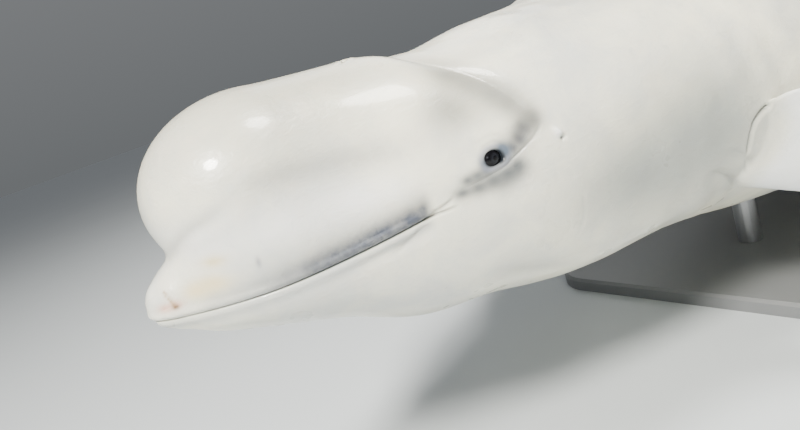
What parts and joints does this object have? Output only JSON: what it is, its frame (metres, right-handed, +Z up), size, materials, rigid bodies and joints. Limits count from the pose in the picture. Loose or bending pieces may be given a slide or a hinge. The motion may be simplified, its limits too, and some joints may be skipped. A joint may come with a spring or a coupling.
{
  "type": "beluga whale",
  "caption": "Life-size still model of an adult beluga whale, head raised a little, on a flat base with short rods.",
  "frame": {"origin": "the middle of the whole model's box, on the floor under the base", "axes": "+Z up, -X towards the tip of the beak and +X towards the flukes, -Y towards the whale's left side"},
  "size_m": [3.7554, 1.0886, 0.7902],
  "materials": {
    "skin": "smooth wet off-white skin",
    "eye": "glossy dark",
    "stand": "satin grey paint"
  },
  "bodies": {
    "root": {"melon": "skin", "head": "skin", "lower_jaw": "skin", "eye_left": "eye", "eye_right": "eye", "neck": "skin", "chest": "skin", "abdomen": "skin", "tail_stock": "skin", "dorsal_ridge": "skin", "flipper_left": "skin", "flipper_right": "skin", "fluke_left": "skin", "fluke_right": "skin", "stand_base": "stand", "stand_rod_front": "stand", "stand_rod_rear": "stand"}
  },
  "joints": []
}
